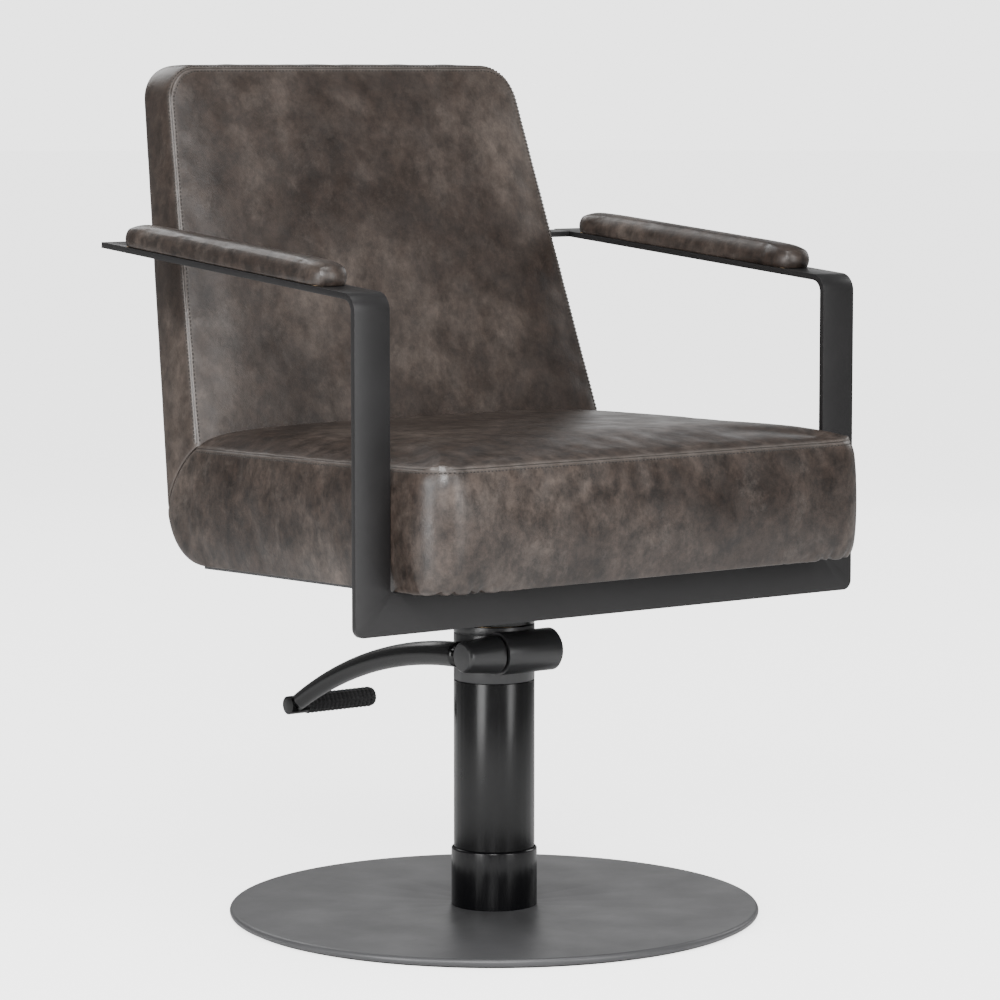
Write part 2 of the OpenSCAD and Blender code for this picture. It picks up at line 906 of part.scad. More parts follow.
module back_front_outline() {
    r = back_corner_r;
    corner_x = back_half_w - r * (1 - back_flare / 2);
    low = split_z - 5;
    difference() {
        polygon([
            [-back_half(low), low],
            [back_half(low), low],
            [back_half_w, back_top_z],
            [-back_half_w, back_top_z]
        ]);
        for (side = [-1, 1]) translate([side * corner_x, back_top_z - r])
            difference() {
                translate([side > 0 ? 0 : -2 * r, 0]) square([2 * r, 2 * r]);
                circle(r = r);
            }
    }
}

module back_block(depth) {
    intersection() {
        side_extrude(back_half(split_z)) shrunk(depth) back_side_outline();
        through_back() shrunk(depth) back_front_outline();
    }
}

module back_insides() {
    back_frame();
    back_brackets();
    arm_stay_left();
    arm_stay_right();
}

module back_foam() {
    color(foam_cream) difference() {
        back_block(leather_t);
        back_insides();
    }
}

module back_cover() {
    color(leather_brown) difference() {
        back_block(0);
        back_block(leather_t);
        back_insides();
    }
}

base_plate();
floor_pad();
base_sleeve();
ram_foot();
centre_bolt();
guide_tube();
ram_rod();
ram_piston();
piston_seal();
column_tube();
column_bush();
hydraulic_cylinder();
cylinder_gland();
pump_head();
pivot_bushes();
thrust_washer();
return_spring();
pump_plunger();
pivot_shaft();
lever_boss();
lever_arm();
pedal_hub();
pedal_rod();
pedal_grip();
swivel_spindle();
swivel_hub();
swivel_plate();
plate_bolts();
seat_rails();
seat_bolts();
arm_frame();
arm_stay_left();
arm_stay_right();
pad_board_left();
pad_board_right();
pad_screws();
arm_pad_left();
arm_pad_right();
seat_board();
dust_cover();
back_frame();
back_brackets();
seat_foam();
seat_cover();
back_foam();
back_cover();
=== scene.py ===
"""Looks of the styling chair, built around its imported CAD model. Metres, +Z up, the seat faces -Y."""

import json
import math

import bpy
import numpy as np
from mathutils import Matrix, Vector, noise
from mathutils.bvhtree import BVHTree


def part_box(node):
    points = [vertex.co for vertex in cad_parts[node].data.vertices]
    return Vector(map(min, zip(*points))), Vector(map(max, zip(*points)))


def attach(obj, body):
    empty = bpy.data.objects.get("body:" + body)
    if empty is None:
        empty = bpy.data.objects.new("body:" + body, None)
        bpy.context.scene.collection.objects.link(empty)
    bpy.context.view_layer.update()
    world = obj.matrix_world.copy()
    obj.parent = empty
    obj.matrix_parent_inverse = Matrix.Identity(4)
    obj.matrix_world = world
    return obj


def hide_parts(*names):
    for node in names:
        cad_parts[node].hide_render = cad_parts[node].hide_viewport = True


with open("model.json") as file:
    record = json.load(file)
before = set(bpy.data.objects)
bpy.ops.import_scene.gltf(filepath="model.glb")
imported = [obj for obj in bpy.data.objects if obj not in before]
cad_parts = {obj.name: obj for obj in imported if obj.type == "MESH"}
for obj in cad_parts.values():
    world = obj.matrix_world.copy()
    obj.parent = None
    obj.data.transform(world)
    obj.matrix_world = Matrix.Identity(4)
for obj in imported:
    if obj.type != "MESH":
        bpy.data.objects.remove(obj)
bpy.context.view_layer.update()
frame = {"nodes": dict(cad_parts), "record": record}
NODES = frame["nodes"]

# Measures that the seat and back share with the CAD, in metres
SEAT_FALL = math.tan(math.radians(1.3))
ARM_RISE = math.radians(4.4)
BACK_FRONT_LEAN = 0.2936
BACK_REAR_LEAN = 0.2625
BACK_REF_Z = 0.525  # height at which the next two give the back's place
BACK_FRONT_REF_Y = 0.1645
BACK_REAR_REF_Y = 0.2265
BACK_THICK = BACK_REAR_REF_Y - BACK_FRONT_REF_Y
BACK_FLARE = 0.107
SEAM_Z = 0.490  # where the seam between seat and back starts, in front
SPLIT_Z = 0.424  # and where it ends, at the rear
SEAM_ARC_R = 0.142
REAR_CORNER_R = 0.072
SEAT_SIDE_H = 0.120
BAR_HEIGHT = 0.041
BAR_GAP = 0.0005

# Measures of the upholstery alone, fitted to the photo's outline
FRONT_CORNER_R = 0.030
BACK_HALF_TOP = 0.2245
BACK_CORNER_R = 0.034
SEAM_INSET = 0.0035  # how far the seams lie inside the swollen panels
BACK_SEAM_INSET = 0.003
SIDE_TAPER_Y = 0.03  # from here to the rear, the seat narrows to the back's width
CORNER_BULGE = 0.006
REAR_SQUARENESS = 2.3  # 2 is round


# Outlines worked out from the boxes of the CAD nodes

seat_low, seat_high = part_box("seat_cover")
frame_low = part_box("arm_frame")[0]
SEAT_HALF = seat_high.x
SEAT_SEAM_HALF = SEAT_HALF - SEAM_INSET
SEAT_FRONT = seat_low.y
FRAME_FRONT = frame_low.y
BACK_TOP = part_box("back_cover")[1].z
BAR_TOP_Z = frame_low.z + BAR_HEIGHT


def seat_bottom(y):
    return BAR_TOP_Z + BAR_GAP - (y - FRAME_FRONT) * SEAT_FALL


def seat_seam(y):
    return seat_bottom(y) + SEAT_SIDE_H


def back_front(z):
    return BACK_FRONT_REF_Y + (z - BACK_REF_Z) * BACK_FRONT_LEAN


def back_rear(z):
    return BACK_REAR_REF_Y + (z - BACK_REF_Z) * BACK_REAR_LEAN


def back_half(z):
    return BACK_HALF_TOP + (BACK_TOP - z) * BACK_FLARE


def seam_arc_centre():
    """Centre, in the side plane, of the arc along which the back meets the seat."""
    a = np.array([back_front(SEAM_Z), SEAM_Z])
    b = np.array([back_rear(SPLIT_Z), SPLIT_Z])
    half = np.linalg.norm(b - a) / 2
    along = (b - a) / (2 * half)
    return (a + b) / 2 + math.sqrt(SEAM_ARC_R**2 - half**2) * np.array([along[1], -along[0]])


def rear_corner_centre():
    """Centre, in the side plane, of the seat's rounded lower rear corner."""
    fall = math.atan(SEAT_FALL)
    tilt = math.atan(BACK_REAR_LEAN)
    # y is where the rear line of the back would meet the seat's underside
    y = back_rear(seat_bottom(0)) / (1 + SEAT_FALL * BACK_REAR_LEAN)
    setback = REAR_CORNER_R * math.tan((math.pi / 2 - tilt + fall) / 2)
    foot = np.array([y - setback * math.cos(fall), seat_bottom(y) + setback * math.sin(fall)])
    return foot + REAR_CORNER_R * np.array([math.sin(fall), math.cos(fall)])


ARC_C = seam_arc_centre()
REAR_C = rear_corner_centre()
SEAT_REAR = back_rear(SPLIT_Z)


# Node materials

FLOOR_GLOW = 2.6
BACKDROP_GLOW = 3.0
STUDIO_FILL = 0.27
# Seam nearness, which the leather paints paler (rubbed wear and a painted highlight) and, on the seam
# line, dark as painted shade
SEAM_WEAR_AND_SHADE = "seam_wear_and_shade"  # how near a point of the leather is to a seam, from 0 to 1


class Nodes:
    """Short way to add and join shader nodes."""

    def __init__(self, name):
        self.mat = bpy.data.materials.new(name)
        self.mat.use_nodes = True
        self.tree = self.mat.node_tree
        self.shader = self.tree.nodes["Principled BSDF"]
        coords = self.tree.nodes.new("ShaderNodeTexCoord")
        self.place = coords.outputs["Object"]

    def join(self, a, b):
        self.tree.links.new(a, b)

    def scaled(self, scale):
        node = self.tree.nodes.new("ShaderNodeMapping")
        node.inputs["Scale"].default_value = scale
        self.join(self.place, node.inputs["Vector"])
        return node.outputs["Vector"]

    def noise(self, scale, detail=4.0, roughness=0.55, distortion=0.0, at=None):
        node = self.tree.nodes.new("ShaderNodeTexNoise")
        node.inputs["Scale"].default_value = scale
        node.inputs["Detail"].default_value = detail
        node.inputs["Roughness"].default_value = roughness
        node.inputs["Distortion"].default_value = distortion
        self.join(at or self.place, node.inputs["Vector"])
        return node.outputs["Fac"]

    def cells(self, scale, feature="F1"):
        node = self.tree.nodes.new("ShaderNodeTexVoronoi")
        node.feature = feature
        node.inputs["Scale"].default_value = scale
        self.join(self.place, node.inputs["Vector"])
        return node.outputs["Distance"]

    def ramp(self, source, stops):
        node = self.tree.nodes.new("ShaderNodeValToRGB")
        ramp = node.color_ramp
        while len(ramp.elements) < len(stops):
            ramp.elements.new(0.5)
        for element, (place, value) in zip(ramp.elements, stops):
            element.position = place
            element.color = (*value, 1.0) if isinstance(value, tuple) else (value, value, value, 1.0)
        self.join(source, node.inputs["Fac"])
        return node.outputs["Color"]

    def mix(self, factor, a, b, mode="MIX"):
        node = self.tree.nodes.new("ShaderNodeMix")
        node.data_type = "RGBA"
        node.blend_type = mode
        for socket, value in ((node.inputs[0], factor), (node.inputs[6], a), (node.inputs[7], b)):
            if isinstance(value, bpy.types.NodeSocket):
                self.join(value, socket)
            elif isinstance(value, tuple):
                socket.default_value = (*value, 1.0)
            else:
                socket.default_value = value
        return node.outputs[2]

    def attribute(self, name):
        node = self.tree.nodes.new("ShaderNodeAttribute")
        node.attribute_name = name
        return node.outputs["Fac"]

    def maths(self, operation, a, b):
        node = self.tree.nodes.new("ShaderNodeMath")
        node.operation = operation
        for socket, value in ((node.inputs[0], a), (node.inputs[1], b)):
            if isinstance(value, bpy.types.NodeSocket):
                self.join(value, socket)
            else:
                socket.default_value = value
        return node.outputs[0]

    def bump(self, *layers):
        """Layers are (height, strength, distance in metres), the coarsest first."""
        normal = None
        for height, strength, distance in layers:
            node = self.tree.nodes.new("ShaderNodeBump")
            node.inputs["Strength"].default_value = strength
            node.inputs["Distance"].default_value = distance
            self.join(height, node.inputs["Height"])
            if normal:
                self.join(normal, node.inputs["Normal"])
            normal = node.outputs["Normal"]
        self.join(normal, self.shader.inputs["Normal"])

    def set(self, **values):
        for name, value in values.items():
            socket = self.shader.inputs[name.replace("_", " ")]
            if isinstance(value, bpy.types.NodeSocket):
                self.join(value, socket)
            elif isinstance(value, tuple):
                socket.default_value = (*value, 1.0)
            else:
                socket.default_value = value


def leather(name, mottle):
    """Distressed taupe leather: cloudy, scuffed, with a fine pebble grain. Beside the seams it is paler,
    partly rubbed wear and partly a painted highlight, and on the seam line itself it is darkened with
    painted shade. mottle is how strong its blotches are."""
    n = Nodes(name)
    dark, middle, pale = (0.0150, 0.0098, 0.0075), (0.028, 0.0202, 0.0163), (0.062, 0.0488, 0.0410)
    clouds = n.ramp(n.noise(8.0, 8.0, 0.66, 0.2), [(0.34, dark), (0.51, middle), (0.70, pale)])
    drawn_out = n.scaled((1.0, 1.0, 0.8))
    spots = [(0.37, 1.0 - 0.60 * mottle), (0.5, 1.0), (0.64, 1.0 + 0.75 * mottle)]
    blotches = n.ramp(n.noise(58.0, 9.0, 0.78, 0.1, at=drawn_out), spots)
    scuffs = n.ramp(n.noise(24.0, 10.0, 0.80, 0.3, at=drawn_out), [(0.55, 0.0), (0.69, 1.0)])
    colour = n.mix(1.0, clouds, blotches, "MULTIPLY")
    colour = n.mix(n.maths("MULTIPLY", scuffs, 0.34 * mottle), colour, (0.125, 0.103, 0.089))
    seam = n.attribute(SEAM_WEAR_AND_SHADE)
    # Paler beside the seams: partly rubbed wear, partly a painted highlight along the seam's rim
    wear_and_highlight = n.ramp(seam, [(0.0, 0.0), (0.55, 0.40), (0.85, 0.60)])
    wear_and_highlight = n.maths("MULTIPLY", wear_and_highlight, n.ramp(n.noise(60.0, 4.0), [(0.3, 0.35), (0.7, 1.0)]))
    colour = n.mix(wear_and_highlight, colour, (0.125, 0.110, 0.100))
    # Dark on the seam line itself: painted shade in the seam's groove
    painted_seam_shade = n.ramp(seam, [(0.925, 0.0), (0.975, 1.0)])
    colour = n.mix(n.maths("MULTIPLY", painted_seam_shade, 0.85), colour, (0.010, 0.008, 0.007))
    grain = n.cells(850.0, "SMOOTH_F1")
    creases = n.noise(210.0, 6.0, 0.6, 0.6)
    swell = n.noise(34.0, 3.0, 0.5, 0.4)
    n.bump((swell, 0.18, 0.003), (creases, 0.18, 0.0008), (grain, 0.24, 0.0003))
    n.set(
        Base_Color=colour,
        Roughness=n.ramp(n.noise(30.0, 6.0, 0.6), [(0.3, 0.30), (0.7, 0.46)]),
        Specular_IOR_Level=0.5,
    )
    return n.mat


def coated_steel(name, colour, rough, metallic=0.0, grain=0.12, gloss=0.5):
    """Powder-coated or lacquered steel: almost even, with a fine orange-peel surface."""
    n = Nodes(name)
    low = tuple(c * 0.90 for c in colour)
    high = tuple(min(1.0, c * 1.12) for c in colour)
    tone = n.ramp(n.noise(9.0, 5.0, 0.6), [(0.35, low), (0.65, high)])
    polish = n.ramp(n.noise(14.0, 5.0, 0.6), [(0.35, rough - 0.03), (0.65, rough + 0.04)])
    n.bump((n.noise(900.0, 3.0, 0.5), grain, 0.0002))
    n.set(Base_Color=tone, Roughness=polish, Metallic=metallic, Specular_IOR_Level=gloss)
    return n.mat


def bare_steel(name, colour, rough):
    """Turned metal with fine lines round its axis."""
    n = Nodes(name)
    lines = n.noise(300.0, 4.0, 0.6, at=n.scaled((0.3, 0.3, 6.0)))
    tone = n.ramp(n.noise(20.0, 4.0), [(0.3, tuple(c * 0.85 for c in colour)), (0.7, colour)])
    n.bump((lines, 0.10, 0.0001))
    n.set(Base_Color=tone, Roughness=n.ramp(lines, [(0.3, rough), (0.7, rough + 0.12)]), Metallic=1.0)
    return n.mat


def rubber():
    """Matt black rubber with a fine grain."""
    n = Nodes("black_rubber")
    tone = n.ramp(n.noise(40.0, 5.0), [(0.3, (0.012, 0.012, 0.013)), (0.7, (0.026, 0.026, 0.027))])
    n.bump((n.noise(1200.0, 3.0), 0.25, 0.0002))
    n.set(Base_Color=tone, Roughness=n.ramp(n.noise(60.0, 4.0), [(0.3, 0.48), (0.7, 0.64)]))
    return n.mat


def plywood():
    """Pale wood with rings drawn out along its length."""
    n = Nodes("plywood")
    rings = n.noise(30.0, 6.0, 0.6, 0.8, at=n.scaled((1.0, 6.0, 6.0)))
    tone = n.ramp(rings, [(0.3, (0.42, 0.27, 0.15)), (0.7, (0.66, 0.48, 0.30))])
    n.bump((rings, 0.2, 0.0004))
    n.set(Base_Color=tone, Roughness=n.ramp(rings, [(0.3, 0.55), (0.7, 0.72)]))
    return n.mat


def woven(name, colour):
    """Cloth or open foam: fine cells and a soft sheen."""
    n = Nodes(name)
    weave = n.cells(1400.0)
    tone = n.ramp(n.noise(80.0, 5.0), [(0.3, tuple(c * 0.8 for c in colour)), (0.7, colour)])
    n.bump((weave, 0.5, 0.0003))
    n.set(Base_Color=tone, Roughness=n.ramp(weave, [(0.2, 0.85), (0.8, 0.95)]), Sheen_Weight=0.2)
    return n.mat


def thread():
    """Tonal sewing thread with a twist."""
    n = Nodes("sewing_thread")
    twist = n.noise(1500.0, 2.0, at=n.scaled((1.0, 1.0, 1.6)))
    tone = n.ramp(twist, [(0.3, (0.008, 0.007, 0.006)), (0.7, (0.026, 0.021, 0.018))])
    n.bump((twist, 0.4, 0.0002))
    n.set(Base_Color=tone, Roughness=n.ramp(twist, [(0.3, 0.5), (0.7, 0.7)]))
    return n.mat


def floor_paint():
    """Pale paint, lit evenly where it is seen so that it meets the backdrop without an edge."""
    n = Nodes("pale_floor")
    tone = n.ramp(n.noise(3.0, 4.0), [(0.3, (0.86, 0.86, 0.86)), (0.7, (0.89, 0.89, 0.89))])
    seen = n.tree.nodes.new("ShaderNodeLightPath").outputs["Is Camera Ray"]
    n.set(Base_Color=tone, Roughness=0.9, Emission_Color=(1.0, 1.0, 1.0))
    n.set(Emission_Strength=n.maths("MULTIPLY", seen, FLOOR_GLOW))
    return n.mat


LEATHER = leather("distressed_leather", 1.0)
BACK_LEATHER = leather("distressed_leather_calm", 0.62)
THREAD = thread()
RUBBER = rubber()
GLOSS_BLACK, SATIN_BLACK = (0.0025, 0.0025, 0.003), (0.0040, 0.0040, 0.0043)
SLOT_MATERIALS = {
    "base_steel": coated_steel("disc_coat", (0.078, 0.078, 0.081), 0.42, 0.35),
    "gloss_black": coated_steel("gloss_black_coat", GLOSS_BLACK, 0.20, grain=0.05, gloss=0.32),
    "column_black": coated_steel("satin_black_coat", SATIN_BLACK, 0.24, 0.1, gloss=0.40),
    "frame_steel": coated_steel("graphite_coat", (0.0130, 0.0124, 0.0128), 0.40, 0.2),
    "hidden_steel": coated_steel("matt_black_coat", (0.020, 0.020, 0.021), 0.55),
    "bright_steel": bare_steel("turned_steel", (0.56, 0.56, 0.57), 0.24),
    "bronze": bare_steel("bearing_bronze", (0.26, 0.19, 0.11), 0.40),
    "nylon": coated_steel("nylon_bush", (0.72, 0.71, 0.67), 0.5),
    "rubber": RUBBER,
    "plywood": plywood(),
    "leather": LEATHER,
    "foam": woven("cut_foam", (0.74, 0.68, 0.50)),
    "dust_fabric": woven("dust_cloth", (0.018, 0.018, 0.019)),
}

# The two castings are a little paler than the column that shares their slot
CASTING = coated_steel("casting_coat", (0.020, 0.020, 0.021), 0.34, 0.1, gloss=0.60)
CASTINGS = ("pump_head", "lever_boss")
ROUND_NODES = ("lever_arm", "return_spring")


def smooth(mesh):
    mesh.polygons.foreach_set("use_smooth", [True] * len(mesh.polygons))


def dress_cad_nodes():
    """Gives every CAD node its slot's material, smooth shading and softened edges."""
    slots = {row["node"]: row["material_slot"] for row in frame["record"]["subparts"]}
    for name, obj in NODES.items():
        material = CASTING if name in CASTINGS else SLOT_MATERIALS[slots[name]]
        if not obj.material_slots:
            obj.data.materials.append(material)
        for place in obj.material_slots:
            place.material = material
        weld = obj.modifiers.new("weld", "WELD")
        weld.merge_threshold = 0.00002
        if name not in ROUND_NODES:
            bevel = obj.modifiers.new("soft_edges", "BEVEL")
            bevel.width = 0.0011 if name == "arm_frame" else 0.0007
            bevel.segments = 3
            bevel.limit_method = "ANGLE"
            bevel.angle_limit = math.radians(40)
            bevel.harden_normals = True
        smooth(obj.data)


# Pieces of this script's own


def new_piece(name, points, faces, material):
    mesh = bpy.data.meshes.new(name)
    mesh.from_pydata([tuple(p) for p in points], [], faces)
    mesh.materials.append(material)
    obj = bpy.data.objects.new(name, mesh)
    bpy.context.scene.collection.objects.link(obj)
    return obj


def get_points(obj):
    co = np.zeros(len(obj.data.vertices) * 3)
    obj.data.vertices.foreach_get("co", co)
    return co.reshape(-1, 3)


def set_points(obj, points):
    obj.data.vertices.foreach_set("co", np.asarray(points, float).ravel())
    obj.data.update()


def surface_normals(obj):
    normals = np.zeros(len(obj.data.vertices) * 3)
    obj.data.vertices.foreach_get("normal", normals)
    return normals.reshape(-1, 3)


# Padded pieces: a grid over each face of a box, whose edges are the seams

ON_FACE = 0.9999  # a place on the unit cube at or past this lies on the cube's face
CLOTH_FRAMES = 20
CROWD = 0.93  # how far the grid crowds towards the seams; below 1


def spread(count, crowd):
    """Numbers from -1 to 1, closer together towards the ends, where the seams are."""
    t = np.linspace(-1, 1, count + 1)
    return np.sin(t * math.pi / 2 * crowd) / math.sin(math.pi / 2 * crowd)


def rounded(a, b, half_a, half_b, radius):
    """Maps the square of a and b onto a rectangle of those half sizes with rounded corners, and
    gives the direction out of its outline too. radius is a function of the signs of a and b."""
    ring = np.maximum(np.abs(a), np.abs(b))
    x = a * half_a
    y = b * half_b
    r = radius(np.sign(a), np.sign(b)) * ring
    in_x = half_a * ring - r
    in_y = half_b * ring - r
    px = np.abs(x) - in_x
    py = np.abs(y) - in_y
    corner = (px > 0) & (py > 0) & (r > 0)
    low = np.minimum(px, py) / np.maximum(np.maximum(px, py), 1e-9)
    turn = np.where(px >= py, math.pi / 4 * low, math.pi / 2 - math.pi / 4 * low)
    x = np.where(corner, np.sign(a) * (in_x + r * np.cos(turn)), x)
    y = np.where(corner, np.sign(b) * (in_y + r * np.sin(turn)), y)
    flat = (px >= py).astype(float)
    out_x = np.sign(a) * np.where(corner, np.cos(turn), flat)
    out_y = np.sign(b) * np.where(corner, np.sin(turn), 1 - flat)
    return x, y, out_x, out_y


def rise(depth, reach):
    """0 at a seam, and towards 1 within a few times reach from it."""
    return 1 - np.exp(-np.maximum(depth, 0) / reach)


def pad_mesh(name, place, counts, crowd=CROWD, material=LEATHER):
    """A closed box of quads, and the places of its points on the unit cube's surface, from which
    place(a, b, c) works out the points."""
    count_a, count_b, count_c = counts
    steps = [spread(count, crowd) for count in counts]
    index = {}
    cube = []

    def corner(i, j, k):
        key = (i, j, k)
        if key not in index:
            index[key] = len(cube)
            cube.append((steps[0][i], steps[1][j], steps[2][k]))
        return index[key]

    faces = []
    for i in range(count_a):
        for j in range(count_b):
            for k in (0, count_c):
                quad = [corner(i, j, k), corner(i + 1, j, k)]
                quad += [corner(i + 1, j + 1, k), corner(i, j + 1, k)]
                faces.append(quad if k else quad[::-1])
    for i in range(count_a):
        for k in range(count_c):
            for j in (0, count_b):
                quad = [corner(i, j, k), corner(i + 1, j, k)]
                quad += [corner(i + 1, j, k + 1), corner(i, j, k + 1)]
                faces.append(quad[::-1] if j else quad)
    for j in range(count_b):
        for k in range(count_c):
            for i in (0, count_a):
                quad = [corner(i, j, k), corner(i, j + 1, k)]
                quad += [corner(i, j + 1, k + 1), corner(i, j, k + 1)]
                faces.append(quad if i else quad[::-1])
    cube = np.array(cube)
    obj = new_piece(name, place(*cube.T), faces, material)
    smooth(obj.data)
    return obj, cube


def inflate(obj, held, cap, fullness, pressure=4.0):
    """Swells the leather by cloth simulation. held is how firmly each point stays, from 0 to 1.
    fullness is the spare leather that gathers into soft folds by the seams. No point ends up
    further than cap from where it was."""
    before = get_points(obj)
    group = obj.vertex_groups.new(name="sewn")
    for i, weight in enumerate(held):
        if weight > 0:
            group.add([i], float(weight), "REPLACE")
    cloth = obj.modifiers.new("leather_skin", "CLOTH")
    settings = cloth.settings
    settings.quality = 6
    settings.mass = 0.6
    settings.tension_stiffness = 25
    settings.compression_stiffness = 25
    settings.shear_stiffness = 10
    settings.bending_stiffness = 2.0
    settings.vertex_group_mass = "sewn"
    settings.pin_stiffness = 1.0
    settings.shrink_min = -fullness
    settings.use_pressure = True
    settings.uniform_pressure_force = pressure
    settings.effector_weights.gravity = 0.0
    cloth.collision_settings.use_collision = False
    scene = bpy.context.scene
    cloth.point_cache.frame_start = 1
    cloth.point_cache.frame_end = CLOTH_FRAMES
    for number in range(1, CLOTH_FRAMES + 1):
        scene.frame_set(number)
    after = get_points(obj.evaluated_get(bpy.context.evaluated_depsgraph_get()))
    obj.modifiers.remove(cloth)
    scene.frame_set(1)
    move = after - before
    size = np.linalg.norm(move, axis=1)[:, None]
    move = move * np.minimum(1.0, cap * np.tanh(size / cap) / np.maximum(size, 1e-9))
    set_points(obj, before + move)
    obj.vertex_groups.clear()


def subdivide(obj):
    """Splits every face in four and rounds the surface off."""
    modifier = obj.modifiers.new("smooth", "SUBSURF")
    modifier.levels = 1
    modifier.render_levels = 1
    evaluated = obj.evaluated_get(bpy.context.evaluated_depsgraph_get())
    mesh = bpy.data.meshes.new_from_object(evaluated)
    obj.modifiers.remove(modifier)
    obj.data = mesh
    smooth(mesh)


# Seams, creases and thread

SEAM_REACH = 0.03  # points further than this from a line count as 1 m away
SEAM_CHUNK = 60  # points of a line that are compared at a time, to spare memory
SEAM_DEPTH = 0.0009
SEAM_WIDTH = 0.0011
# Reach of the pale band beside the seams, partly wear and partly painted highlight, whose middle line is
# painted shade
WEAR_AND_SHADE_REACH = 0.0035
EDGE_WEAR = 0.88
STITCH_PITCH = 0.0043
STITCH_LENGTH = 0.0033
THREAD_R = 0.0006
TURN_ANGLES = np.linspace(0.05, 1.52, 14)  # nearly a quarter turn, for the corner of a seam


def nearness(points, paths):
    """Distance from each point to the nearest of the lines of points."""
    near = np.full(len(points), 1.0)
    for path in paths:
        dense = np.array(path)
        low, high = dense.min(0) - SEAM_REACH, dense.max(0) + SEAM_REACH
        close = np.flatnonzero(((points > low) & (points < high)).all(1))
        for first in range(0, len(dense), SEAM_CHUNK):
            some = dense[None, first : first + SEAM_CHUNK]
            gap = np.linalg.norm(points[close][:, None] - some, axis=2).min(1)
            near[close] = np.minimum(near[close], gap)
    return near


def sew(obj, seams, edges=()):
    """Sinks a fine crease along the seams, and stores how near each point is to one for the leather, which
    paints it paler there, partly rubbed wear and partly a painted highlight, and dark on the seam line as
    painted shade. edges are only rubbed pale."""
    points = get_points(obj)
    near = nearness(points, [evenly(path, 0.0008) for path in seams])
    sink = SEAM_DEPTH * np.exp(-((near / SEAM_WIDTH) ** 2))
    set_points(obj, points - surface_normals(obj) * sink[:, None])
    # Nearness to the seams: the leather paints it as rubbed wear with a painted highlight, and as painted
    # shade on the seam line
    seam_wear_and_shade = np.exp(-((near / WEAR_AND_SHADE_REACH) ** 2))
    if edges:
        by_edge = nearness(points, [evenly(path, 0.0015) for path in edges])
        seam_wear_and_shade = np.maximum(seam_wear_and_shade, EDGE_WEAR * np.exp(-((by_edge / (0.7 * WEAR_AND_SHADE_REACH)) ** 2)))
    layer = obj.data.attributes.new(SEAM_WEAR_AND_SHADE, "FLOAT", "POINT")
    layer.data.foreach_set("value", seam_wear_and_shade.astype(np.float32))


def evenly(path, pitch):
    """Points along a line of points, one pitch apart."""
    path = np.array(path)
    steps = np.linalg.norm(np.diff(path, axis=0), axis=1)
    along = np.concatenate([[0], np.cumsum(steps)])
    wanted = np.arange(0, along[-1], pitch)
    return np.column_stack([np.interp(wanted, along, path[:, k]) for k in range(3)])


def stitches(name, obj, paths):
    """Sewing thread along lines on the surface of obj: one short, sunk-ended loop a stitch."""
    tree = BVHTree.FromObject(obj, bpy.context.evaluated_depsgraph_get())
    sides, rings = 6, 5
    verts, faces = [], []
    for path in paths:
        places = evenly(path, STITCH_PITCH)
        for here, ahead in zip(places[:-1], places[1:]):
            hit, normal, _, _ = tree.find_nearest(Vector((here + ahead) / 2))
            if hit is None:
                continue
            along = (Vector(ahead) - Vector(here)).normalized()
            along = (along - normal * along.dot(normal)).normalized()
            across = normal.cross(along)
            base = len(verts)
            for ring in range(rings):
                t = ring / (rings - 1) * 2 - 1
                size = THREAD_R * math.sqrt(max(0.04, 1 - t * t * 0.9))
                lift = THREAD_R * (0.6 - 1.2 * t * t)
                middle = hit + along * (t * STITCH_LENGTH / 2) + normal * lift
                for side in range(sides):
                    turn = 2 * math.pi * side / sides
                    sideways, outward = size * math.cos(turn), size * math.sin(turn)
                    verts.append(middle + across * sideways + normal * outward)
            for ring in range(rings - 1):
                for side in range(sides):
                    a = base + ring * sides + side
                    b = base + ring * sides + (side + 1) % sides
                    faces.append([a, b, b + sides, a + sides])
            faces.append([base + side for side in range(sides)][::-1])
            faces.append([base + (rings - 1) * sides + side for side in range(sides)])
    piece = new_piece(name, verts, faces, THREAD)
    smooth(piece.data)
    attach(piece, "seat")


def folds(points, scale, seed):
    """Soft noise, one number a point."""
    return np.array([noise.noise(Vector(p * scale) + Vector((seed, 0, 0))) for p in points])


def add_folds(obj, seam, reach, size, scale, seed):
    """Short soft puckers that run away from a seam."""
    points = get_points(obj)
    near = nearness(points, [seam])
    weight = np.where(near < reach * 5, near / reach * np.exp(1 - near / reach), 0)
    set_points(obj, points + surface_normals(obj) * (size * weight * folds(points, scale, seed))[:, None])


# Seat

POST_GAP = 0.004  # the corners start to bulge this far in front of the posts
STITCH_DROP = 0.0042  # from the seam down to the row of stitches


def seat_top_z(y):
    """Height of the side seam: level with the seat, then down the arc under the back."""
    start = back_front(SEAM_Z)
    arc = ARC_C[1] + np.sqrt(np.maximum(SEAM_ARC_R**2 - (y - ARC_C[0]) ** 2, 0))
    return np.where(y < start, seat_seam(y), np.minimum(arc, seat_seam(y)))


def seat_under_z(y):
    past = np.clip((y - REAR_C[0]) / REAR_CORNER_R, 0, 1)
    corner = REAR_C[1] - REAR_CORNER_R * (1 - past**REAR_SQUARENESS) ** (1 / REAR_SQUARENESS)
    return np.where(y < REAR_C[0], seat_bottom(y), corner)


def seat_half(y, z):
    """Half width of the seat's side: full in front, and the back's own width at the seam with it."""
    arc_y = ARC_C[0] + np.sqrt(np.maximum(SEAM_ARC_R**2 - (z - ARC_C[1]) ** 2, 0))
    arc_y = np.minimum(np.where(z > SPLIT_Z, arc_y, SEAT_REAR), SEAT_REAR)
    t = np.clip((y - SIDE_TAPER_Y) / (arc_y - SIDE_TAPER_Y), 0, 1)
    there = back_half(np.maximum(z, SPLIT_Z)) - BACK_SEAM_INSET
    return SEAT_SEAM_HALF + (there - SEAT_SEAM_HALF) * t * t * (3 - 2 * t)


